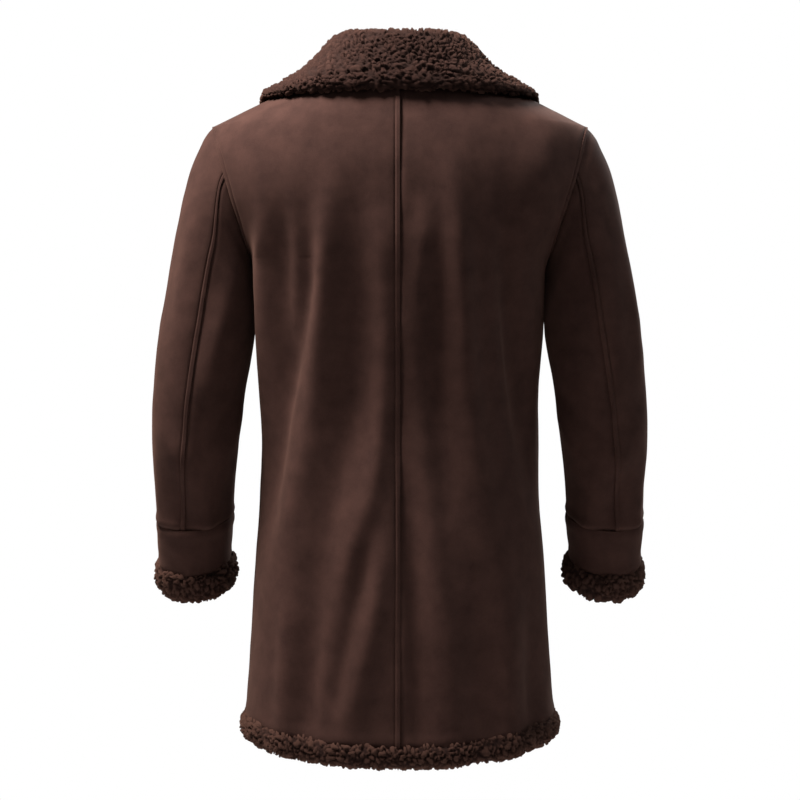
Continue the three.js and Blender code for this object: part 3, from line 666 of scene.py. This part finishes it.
rightCreases = [
    (146, 26, 186, 66, 214, 110, -1.7, -5.8, 12), (124, 46, 154, 104, 180, 165, 1.4, 4.6, 12),
    (70, 50, 62, 150, 72, 236, 1.2, 4, 15), (104, 80, 98, 180, 86, 250, -1.2, -4, 12),
    (30, 70, 26, 170, 40, 240, 1, 3.4, 16), (48, 150, 47, 195, 46, 240, 0, -3.3, 13),
    (24, 262, 58, 296, 92, 304, -1.4, -4.6, 13), (34, 300, 72, 330, 110, 336, 1.6, 5.2, 12),
    (168, 240, 144, 274, 110, 292, -1.6, -5.2, 12), (178, 268, 152, 300, 122, 322, 1.4, 4.6, 12),
    (58, 352, 84, 392, 100, 450, -1.6, -5.2, 13), (28, 350, 40, 420, 46, 478, 1.4, 4.6, 15),
    (116, 372, 124, 440, 116, 486, 1.4, 4.6, 13), (154, 350, 152, 390, 150, 430, 0, -3.3, 14),
    (254, 70, 268, 150, 258, 226, 1.4, 4.6, 15), (286, 60, 291, 120, 296, 180, 0, -4.4, 15),
    (246, 246, 276, 282, 314, 296, -1.6, -5.2, 14), (240, 280, 278, 314, 320, 326, 1.6, 5.2, 13),
    (258, 350, 274, 410, 266, 474, 1.4, 4.6, 14), (304, 342, 302, 386, 300, 430, 0, -4.4, 15),
    (328, 110, 334, 160, 340, 210, 0, 3.3, 15), (338, 350, 343, 398, 348, 446, 0, 3.9, 15),
    (64, 474, 74, 484, 84, 494, 0, 4.4, 12), (112, 468, 120, 481, 128, 494, 0, -3.9, 12),
    (20, 476, 29, 487, 38, 498, 0, -3.3, 12),
]


# the same creases in the form that the folds have
def creaseFolds(rows):
    folds = []
    for *places, endHeight, height, width in rows:
        path = np.array(places, float).reshape(-1, 2)
        heights = [endHeight, *[height] * (len(path) - 2), endHeight]
        folds.append((np.column_stack([path, heights]), width))
    return folds


# each sleeve's two halves, where they start and end round it in degrees, and how far the last edge laps
sleeveHalves = [{"name": "upper_sleeve", "from": 234.0, "to": 432.0, "lap": 1.0},
                {"name": "under_sleeve", "from": 72.0, "to": 234.0, "lap": 0.0}]


def sleevePiece(name, part, side, seed):
    places, rings = ringsAt(sleeveRings, sleeve)
    # at the armhole the seams start a little further in than the rings' own twist says
    twist = rings[:, 7:] + sleeve["armholeTwist"] * np.exp(-places[:, None] / 0.8)
    dense = np.linspace(part["from"], part["to"], sleeve["dense"]) + twist
    grid = np.concatenate([tubePoints(rings, side, dense), dense[..., None]], -1)
    grid = spreadColumns(grid, int(sleeve["middleColumns"] * (part["to"] - part["from"]) / sleeve["span"]))
    grid, turns = grid[..., :3], grid[..., 3] % 360
    shift = np.array([side * sleeve["seamNormalX"], 0, sleeve["seamNormalZ"]]) * sleeve["seamGap"]
    grid = grid + shift * bell(np.arange(len(rings)), 0, sleeve["seatRows"])[:, None, None]
    outX, outZ, inX, inZ, _, midY = rings[:, None, :6].transpose(2, 0, 1)
    middle = xyz((outX + inX) / 2 * side, midY, (outZ + inZ) / 2)
    normals = turnedOut(gridNormals(grid) * -side, grid, middle)
    down = runAlong(middle[:, 0])[:, None]
    creases = creaseFolds(leftCreases if side > 0 else rightCreases)
    height = sum(foldHeight(creases, turns + whole, down) for whole in (-360, 0, 360))
    # under the arm the sleeve presses against the side, which flattens its creases
    reach = smoothStep(*sleeve["pressedStart"], down) * (1 - smoothStep(*sleeve["pressedEnd"], down))
    pressed = bell(turns, sleeve["pressedTurn"], sleeve["pressedWidth"]) * reach
    rise = mix(height * smoothStep(*sleeve["creaseStart"], down), sleeve["pressedRise"], pressed)
    fromFirst, fromLast = distancesInRows(grid)
    rise = rise + seamRise(fromFirst, 0) + seamRise(fromLast, part["lap"])
    rise = rise + waves(grid, sleeve["waves"], sleeve["waveSeed"] + side) - sleeve["sink"]
    rise = rise + relief(down, sleeve["topRelief"]) + relief(down[-1, 0] - down, sleeve["endRelief"])
    outer = grid + normals * rise[..., None]
    clothPiece(name + "_cloth", outer, normals, seed, side > 0, name)


for side, end, seed in [(1, "left", 21), (-1, "right", 23)]:
    for part in sleeveHalves:
        sleevePiece(f"{part['name']}_{end}", part, side, seed)
        seed += 1
print("sleeves made")


# cuffs are short tubes of the suede set on below the sleeves
cuff = {
    "rows": 30, "columns": 190, "endSteps": [0, 0.010, 0.024, 0.042, 0.07], "firstRing": 0.1, "seat": 0.6,
    "seatRows": 2.0, "seamTurn": 241.0, "seamDip": 0.9, "seamWidth": 2.4, "perDegree": 1.35,
    "topRelief": [(-0.9, 0, 2.2), (0.9, 9, 6)], "endRelief": [(-1.4, 0, 2.0), (1.0, 8, 6)],
    "waves": [(1.0, 30), (0.3, 12)], "waveSeed": 61, "pileSeed": 31,
}


def cuffPiece(side, name):
    rings = ringsAt(cuffRings, cuff)[1]
    turns = np.arange(cuff["columns"])[None, :] * 360 / cuff["columns"]
    grid = tubePoints(rings, side, turns)
    grid = grid - upwards * cuff["seat"] * bell(np.arange(len(rings)), 0, cuff["seatRows"])[:, None, None]
    middle = grid.mean(axis=1, keepdims=True)
    normals = turnedOut(gridNormals(grid, True), grid, middle)
    down = runAlong(middle[:, 0])[:, None]
    rise = relief(down, cuff["topRelief"]) + relief(down[-1, 0] - down, cuff["endRelief"])
    rise = rise + waves(grid, cuff["waves"], cuff["waveSeed"] + side)
    fromSeam = ((turns - cuff["seamTurn"] + 180) % 360 - 180) * cuff["perDegree"]
    rise = rise - cuff["seamDip"] * bell(fromSeam, 0, cuff["seamWidth"])
    outer = grid + normals * rise[..., None]
    clothPiece(name + "_cloth", outer, normals, cuff["pileSeed"], side > 0, name, tube=True)


cuffPiece(1, "cuff_left")
cuffPiece(-1, "cuff_right")
print("cuffs made")


# the sherpa's tufts, on closed sections carried along a line
tufts = {"size": 7.8, "small": 3.4, "height": 5.1, "pull": 2.6, "warp": 5.0, "warpSize": 12.0,
         "smallWarp": 1.5, "smallWarpSize": 4.2, "uneven": 0.34, "unevenSize": 11}


# the ground between points scattered a tuft apart is a narrow gap, the rest a rounded lump with smaller
# lumps on it; the points are pushed about first, so that the gaps wander
def tuftRise(points, seed):
    warped = points + tufts["warp"] * noisePush(points, tufts["warpSize"], seed)
    warped = warped + tufts["smallWarp"] * noisePush(points, tufts["smallWarpSize"], seed + 7)
    near, far = scatterDistances(warped, tufts["size"], seed)
    lump = smoothStep(0.0, 0.30, far - near) * (1 - 0.3 * near ** 2)
    smallNear, smallFar = scatterDistances(warped, tufts["small"], seed + 3)
    small = smoothStep(0.0, 0.5, smallFar - smallNear)
    tall = tufts["uneven"] * softNoise(points, tufts["unevenSize"], seed + 13)
    return np.clip(0.84 * lump * (1 + tall) + 0.16 * small * (0.35 + lump) + 0.3 * tall, 0, 1.2)


# the pile's colour follows its rise times the tone, which is painted light: it lightens the hem and cuff
# rolls, whose undersides the light misses, and darkens the brightly lit collar; calm holds the tufts back,
# which also darkens them as painted shade, and extraRise stands under them
def furPiece(name, grid, look, seed, closed, node, extraRise=0.0, calm=1.0):
    normals = gridNormals(grid, True, closed)
    centre = grid.mean(axis=1, keepdims=True)
    rows, columns = grid.shape[:2]
    extraRise, calm = (np.broadcast_to(value, (rows, columns)) for value in (extraRise, calm))
    if np.mean(np.sum(normals * (grid - centre), -1)) < 0:
        grid, normals, extraRise, calm = grid[:, ::-1], -normals[:, ::-1], extraRise[:, ::-1], calm[:, ::-1]
    rise = tuftRise(grid, seed) * calm
    outer = grid + normals * (tufts["height"] * rise - tufts["pull"] + extraRise)[..., None]
    quads = gridQuads(rows + int(closed), columns, 0, True) % (rows * columns)
    caps = [] if closed else ringCaps(rows, columns)
    # the rise and tone go to the sherpa's colour: painted shade in the gaps, painted light on the tops
    values = {"pileRiseForPaintedShading": rise * look["paintedLightTone"], "groundNormal": normals}
    piece = makeMesh(name, outer, quads, [sherpa], None, values, caps)
    declare(piece, "sherpa", node)


# an even run of places along a line of points
def evenLine(line, step, closed=False):
    if closed:
        line = np.concatenate([line, line[:1]])
    run = runAlong(line)
    wanted = np.linspace(0, run[-1], int(round(run[-1] / step)) + 1)
    return resample(line, run, wanted[:-1] if closed else wanted)


# the roll under an edge: an ellipse set below the wall's middle line
def rollGrid(line, out, down, roll):
    turn = wholeTurn(roll["sides"])[None, :, None]
    across = roll["shift"] + roll["halfWidth"] * power(np.cos(turn), 0.85)
    below = roll["halfHeight"] * (1 + np.sin(turn)) - roll["lift"]
    below = below - roll["tuck"] * np.clip(-np.sin(turn), 0, 1)
    return (line - out * cloth["wall"] / 2)[:, None] + out[:, None] * across + down * below


# the rolls' tone lightens their pile colour, painted light where their undersides miss the light
hemRoll = {"halfWidth": 12.5, "halfHeight": 12.9, "shift": -4.0, "tuck": 4.5, "lift": 2.0, "step": 1.4,
           "sides": 58, "seed": 71, "paintedLightTone": 1.3}
cuffRoll = {"halfWidth": 11.0, "halfHeight": 17.9, "shift": -1.5, "tuck": 4.5, "lift": 0.5, "step": 1.4,
            "sides": 60, "seed": 72, "paintedLightTone": 1.15}


# the hem's line runs from the left front's edge round the back to where the right front goes under it
def hemPiece():
    line = []
    height = np.array([[hemZ]])
    for facing, side in [(-1, 1), (1, 1), (1, -1), (-1, -1)]:
        level = bodyLevels(facing, height)
        limits = [side * level["lap"][0, 0] if facing < 0 else 0, level["end"][0, 0]]
        angles = np.linspace(*limits[::-facing * side], 300)[None, :-1]
        line.append(bodyPoints(level, side, angles)[0])
    line = evenLine(np.concatenate(line), hemRoll["step"])
    along = np.gradient(line, axis=0)
    out = unit(xyz(along[:, 1], -along[:, 0], 0))
    grid = rollGrid(line, out, -upwards, hemRoll)
    furPiece("hem_pile", grid, hemRoll, hemRoll["seed"], False, "hem_trim")


def cuffPile(side, name):
    turns = np.arange(720)[None, :] / 2.0
    line = tubePoints(cuffRings[-1:], side, turns)[0]
    middle = line.mean(axis=0)
    down = unit(np.cross(line[0] - middle, line[180] - middle)) * -side
    down = down if down[2] < 0 else -down
    line = evenLine(line, cuffRoll["step"], True)
    grid = rollGrid(line - upwards * cuff["seat"], unit(line - middle), down, cuffRoll)
    furPiece(name.replace("trim", "pile"), grid, cuffRoll, cuffRoll["seed"] + side, True, name)


hemPiece()
cuffPile(1, "cuff_trim_left")
cuffPile(-1, "cuff_trim_right")
print("hem and cuff pile made")


# the collar's stations: turn, foldOut, foldUp, restZ, edgeZ, edgeTurn, lift
collarStations = [
    (0, 12, 24, -22, -50, 0, 8), (30, 10, 26, -22, -50, 32, 6), (60, 5, 29, -22, -49, 61, 2),
    (90, 1, 30, -21, -47, 90, -1), (120, 5, 29, -26, -56, 118, 1), (150, 9, 27, -36, -84, 147, 3),
    (178, 10, 25, -44, -118, 164, 4),
]
# the collar's tone darkens its pile colour, painted shade against the bright light on it
collarLook = {
    "wall": 10.0, "edgeWall": 4.0, "taper": 8.0, "gap": 2.6, "seamLift": 0.8, "columns": 600, "line": 90,
    "outerRows": 104, "edgeRows": 12, "innerRows": 9, "relief": [(-2.6, 23, 3.0), (2.2, 5, 8)],
    "edgeRise": 0.6, "underCalm": 0.1, "clothRows": 34, "clothGap": 0.4, "seed": 81, "paintedLightTone": 0.42,
}


# the body's surface at a turn in degrees, 0 behind and 180 in front, and at a level
def bodyAt(turn, z):
    points = np.zeros(turn.shape + (3,))
    around = np.abs(turn)
    for facing in (1, -1):
        share = around / 90 if facing > 0 else (180 - around) / 90
        level = bodyLevels(facing, z)
        here = bodyPoints(level, np.where(turn < 0, -1, 1), share * level["end"])
        chosen = (around <= 90) if facing > 0 else (around > 90)
        points[chosen] = here[chosen]
    return points


def bodyNormalAt(turn, z):
    along = bodyAt(turn + 1.5, z) - bodyAt(turn - 1.5, z)
    up = bodyAt(turn, z + 1.5) - bodyAt(turn, z - 1.5)
    return unit(np.cross(up, along))


# a centripetal curve through the guide points: each span is a cubic whose slopes come from the
# distances to its neighbours
def throughPoints(guides, places):
    guides = np.concatenate([2 * guides[:1] - guides[1:2], guides, 2 * guides[-1:] - guides[-2:-1]])
    last = len(guides) - 4
    low = np.clip(np.floor(places * (last + 1)).astype(int), 0, last)
    t = (places * (last + 1) - low)[:, None, None]
    p0, p1, p2, p3 = (guides[low + k] for k in range(4))
    gap0, gap1, gap2 = (np.linalg.norm(b - a, axis=-1, keepdims=True) ** 0.5
                        for a, b in [(p0, p1), (p1, p2), (p2, p3)])
    slopeA = ((p1 - p0) / gap0 - (p2 - p0) / (gap0 + gap1) + (p2 - p1) / gap1) * gap1
    slopeB = ((p2 - p1) / gap1 - (p3 - p1) / (gap1 + gap2) + (p3 - p2) / gap2) * gap1
    return (p1 + slopeA * t + (3 * (p2 - p1) - 2 * slopeA - slopeB) * t ** 2
            + (2 * (p1 - p2) + slopeA + slopeB) * t ** 3)


# the middle of the collar's wall, from the neck's seam up the stand, over the fold and down to its edge
def collarMiddle(turns, places):
    around = np.abs(turns)
    foldOut, foldUp, restZ, edgeZ, edgeTurn, lift = tableCurve(collarStations, around)
    clear = collarLook["gap"] + collarLook["wall"] / 2
    thinClear = collarLook["gap"] + collarLook["edgeWall"] / 2
    sign = np.where(turns < 0, -1.0, 1.0)

    def place(turn, z, distance):
        return bodyAt(sign * turn, z) + bodyNormalAt(sign * turn, z) * distance[..., None]

    seam = bodyAt(turns, np.full(turns.shape, neckZ))
    edge = place(edgeTurn, edgeZ, thinClear + 0 * lift)
    rest = place((around + edgeTurn) / 2, restZ, clear + lift)
    fall = place((around + 3 * edgeTurn) / 4, (restZ + edgeZ) / 2, clear + lift / 2)
    out = unit((edge - seam) * np.array([1, 1, 0]))
    start = seam + upwards * collarLook["seamLift"]
    stand = seam + upwards * 0.6 * foldUp[:, None] - out
    fold = seam + upwards * foldUp[:, None] + out * foldOut[:, None]
    return throughPoints(np.stack([start, stand, fold, rest, fall, edge]), places)


# the wall stands out from the collar's middle on both sides, thinner towards the edge and round over it;
# the grid of its section starts at the neck's seam and goes over the edge back under the fall
def collarPiece(look):
    edgeRows, innerRows, outerRows = look["edgeRows"], look["innerRows"], look["outerRows"]
    turns = np.linspace(-178, 178, look["columns"])
    half, thin = look["wall"] / 2, look["edgeWall"] / 2
    lengths = []
    middle = []
    for line in collarMiddle(turns, np.linspace(0, 1, look["line"])).transpose(1, 0, 2):
        run = runAlong(line)
        lengths.append(run[-1])
        middle.append(resample(line, run, np.linspace(0, run[-1] - thin, outerRows)))
    middle = np.array(middle)
    across = gridNormals(middle.transpose(1, 0, 2)).transpose(1, 0, 2)
    # outward is away from the body's axis where the collar lies on the shoulders
    check = np.sum(across[:, -1] * bodyNormalAt(turns, np.full(turns.shape, -50.0)), -1)
    across = across * (1 if np.mean(check) > 0 else -1)
    tangent = unit(middle[:, -1] - middle[:, -2])
    turn = np.linspace(0, math.pi, edgeRows + 2)[1:-1][None, :, None]
    edge = middle[:, -1:] + thin * (across[:, -1:] * np.cos(turn) + tangent[:, None] * np.sin(turn))
    fromEdge = np.array(lengths)[:, None] * (1 - np.linspace(0, 1, outerRows))[None, :]
    halves = mix(thin, half, np.sqrt(np.clip(fromEdge / look["taper"], 0, 1)))[..., None]
    pick = np.linspace(outerRows - 1, 0, innerRows).round().astype(int)
    inner = (middle - across * halves)[:, pick]
    grid = np.concatenate([middle + across * halves, edge, inner], axis=1)
    rise = np.zeros(grid.shape[:2])
    rise[:, :outerRows] = relief(fromEdge, look["relief"])
    rise[:, outerRows:-innerRows] = look["edgeRise"]
    # the tufts under the fall are held back, which also paints them dark with the gaps' shade
    calm = np.ones(rise.shape)
    calm[:, 2 - innerRows:] = look["underCalm"]
    furPiece("collar_pile", grid, look, look["seed"], False, "collar", rise, calm)
    # the under-collar, plain cloth on the side towards the coat
    pick = np.linspace(3, outerRows - 6, look["clothRows"]).round().astype(int)[None, :]
    few = np.arange(0, len(turns), 4)[:, None]
    outward = across[few, pick]
    face = middle[few, pick] - outward * (halves[few, pick] + look["clothGap"])
    clothPiece("collar_cloth", face, -outward, look["seed"] + 2, False)


collarPiece(collarLook)
print("collar made")


# horn buttons on the left front; the profile is the distance from the middle and the height
buttonLook = {
    "heights": [-215, -345, -475, -605], "lift": 0.7, "holeAt": 2.6, "holeRadius": 1.1, "holeDepth": 2.6,
    "faceRun": 9, "rings": 44, "columns": 72, "streak": 9.0, "detail": 4.0, "bend": 2.0,
    "stops": [(0.35, "#2b1d17"), (0.7, "#4d372c")], "surface": {"Roughness": 0.3, "IOR": 1.54},
    "profile": [(0.001, 3.4), (8.2, 3.4), (9.6, 3.6), (10.8, 4.6), (11.8, 5.0), (12.7, 4.5), (13.4, 3.4),
                (13.5, 2.2), (13.2, 0.9), (12.4, 0.1), (11.5, 0), (0.001, 0)],
}


# two twisted strands of sewing thread cross between the holes, each a round bar arched over the face
thread = {
    "radius": 0.55, "twist": 0.12, "rise": 0.8, "crossing": 0.5, "floor": 3.0, "steps": 26, "sides": 12,
    "streak": 0.4, "detail": 3.0, "bend": 0.0, "stops": [(0.0, "#1d1310"), (1.0, "#33231d")],
    "surface": {"Roughness": 0.55, "Specular IOR Level": 0.3},
}


def streakedInputs(tree, look):
    spot = addNode(tree, "TexCoord").outputs["Object"]
    streaks = addNode(tree, "TexNoise", {
        "Vector": spot, "Scale": 1 / (look["streak"] * mm), "Detail": look["detail"],
        "Distortion": look["bend"]})
    ramp = addNode(tree, "ValToRGB", {"Fac": streaks.outputs["Fac"]}, stops=look["stops"])
    return {"Base Color": ramp.outputs["Color"], **look["surface"]}


# polished horn is brown with soft streaks and a low gloss; waxed cotton thread is dark brown and satin,
# its strands a little lighter than the gaps
horn = newMaterial("polished horn", streakedInputs, buttonLook)
waxed = newMaterial("waxed cotton thread", streakedInputs, thread)


def threadPiece(number, place, axes):
    reach = math.hypot(buttonLook["holeAt"], buttonLook["holeAt"])
    share = np.linspace(-1, 1, thread["steps"])[:, None]
    turn = wholeTurn(thread["sides"])[None, :]
    radius = thread["radius"] * (1 + thread["twist"] * np.sin(9 * share + 2 * turn))
    along, sideways = reach * share, radius * np.cos(turn)
    points, quads, caps = [], [], []
    for index, heading in enumerate((math.pi / 4, -math.pi / 4)):
        arch = (thread["rise"] + thread["crossing"] * index) * (1 - share ** 2)
        high = thread["floor"] + arch + radius * np.sin(turn)
        x = along * math.cos(heading) - sideways * math.sin(heading)
        y = along * math.sin(heading) + sideways * math.cos(heading)
        grid = place + xyz(x, y, high) @ axes
        start = index * thread["steps"] * thread["sides"]
        points.append(grid)
        quads.append(gridQuads(thread["steps"], thread["sides"], start, True))
        caps += ringCaps(thread["steps"], thread["sides"], start)
    points, quads = np.concatenate(points), np.concatenate(quads)
    declare(makeMesh(f"button_thread_{number}", points, quads, [waxed], caps=caps), "button")


# a turned disc: rings of points follow the profile from the middle of its face out over the rim to its
# back, and four hollows stand in for the sewing holes
def buttonPiece(number, height, look):
    profile = np.array(look["profile"])
    run = runAlong(profile)
    wanted = np.linspace(0, run[-1], look["rings"])
    radius, level = (column[:, None] for column in resample(profile, run, wanted).T)
    turn = wholeTurn(look["columns"])[None, :]
    x, y = radius * np.cos(turn), radius * np.sin(turn)
    onFace = wanted[:, None] < look["faceRun"]
    for holeX, holeY in [(1, 1), (1, -1), (-1, 1), (-1, -1)]:
        away = np.hypot(x - holeX * look["holeAt"], y - holeY * look["holeAt"])
        hole = 1 - smoothStep(look["holeRadius"] - 0.3, look["holeRadius"] + 0.3, away)
        level = level - look["holeDepth"] * hole * onFace
    z = np.array([float(height)])
    normal = bodyNormalAt(np.array([179.0]), z)[0]
    place = bodyPoints(bodyLevels(-1, z), 1, np.array([0.001]))[0] + normal * look["lift"]
    across = unit(np.cross(upwards, normal))
    axes = np.array([across, np.cross(normal, across), normal])
    points = place + xyz(x, y, level) @ axes
    quads = gridQuads(look["rings"], look["columns"], 0, True, True)
    caps = [cap[::-1] for cap in ringCaps(look["rings"], look["columns"])]
    piece = makeMesh(f"horn_button_{number}", points, quads, [horn], caps=caps)
    declare(piece, "button", f"button_{number}")
    threadPiece(number, place, axes)


for number, height in enumerate(buttonLook["heights"], 1):
    buttonPiece(number, height, buttonLook)
print("buttons made")


# the place: a pale round floor under where a wearer would stand, and soft light from above on the left
stageLook = {"floor": -1450.0, "radius": 2100.0, "sides": 96, "colour": "#f2f2f2"}
lights = {
    "key": {"place": (0.85, 0.33, 1.27), "target": (0.0, 0.0, -0.3), "size": 0.62, "watts": 113.0,
            "colour": "#fff0e8"},
    "fill": {"place": (0.3, 2.8, 1.3), "target": (0.0, 0.0, -0.3), "size": 1.6, "watts": 7.0},
    "side": {"place": (-0.95, 0.24, 1.05), "target": (-0.2, 0.0, -0.2), "size": 0.7, "watts": 8.0},
    "front": {"place": (-1.4, -2.0, 1.3), "target": (0.0, 0.0, -0.4), "size": 1.2, "watts": 60.0},
}


# a pale matte floor that takes a soft shadow and no gloss
def floorInputs(tree, look):
    return {"Base Color": srgb(look["colour"]), "Roughness": 0.9, "Specular IOR Level": 0.1}


def addFloor(look):
    turn = wholeTurn(look["sides"])
    rim = xyz(np.cos(turn), np.sin(turn), 1)
    grid = np.stack([rim * [look["radius"] * share, look["radius"] * share, look["floor"]]
                     for share in (1.0, 0.5, 0.1)])
    caps = [2 * look["sides"] + np.arange(look["sides"])]
    quads = gridQuads(3, look["sides"], 0, True)
    material = newMaterial("pale matte floor", floorInputs, look)
    floor = makeMesh("floor", grid, quads, [material], caps=caps)


def addLight(name, place, target, size, watts, colour="#ffffff"):
    data = bpy.data.lights.new(name, "AREA")
    data.shape = "DISK"
    data.size = size
    data.energy = watts
    data.color = srgb(colour)[:3]
    x, y, z = np.array(target) - np.array(place)
    addObject(name, data, place, (math.atan2(math.hypot(x, y), -z), 0, math.atan2(y, x) - math.pi / 2))


# the room looks white, and lights the coat less than that so that the key light can shape it
def addWorld(colour, seen, lit):
    world = bpy.data.worlds.new("white room")
    world.use_nodes = True
    tree = world.node_tree
    tree.nodes.clear()
    ray = addNode(tree, "LightPath")
    strength = addNode(tree, "MapRange", {
        "Value": ray.outputs["Is Camera Ray"], "To Min": lit, "To Max": seen})
    background = addNode(tree, "Background", {
        "Color": srgb(colour), "Strength": strength.outputs["Result"]})
    addNode(tree, "OutputWorld", {"Surface": background.outputs["Background"]})
    bpy.context.scene.world = world


addFloor(stageLook)
addWorld("#ffffff", 1.0, 0.04)
for name, settings in lights.items():
    addLight(name, **settings)
bpy.context.scene.view_settings.view_transform = "Standard"
print("stage and lights made")
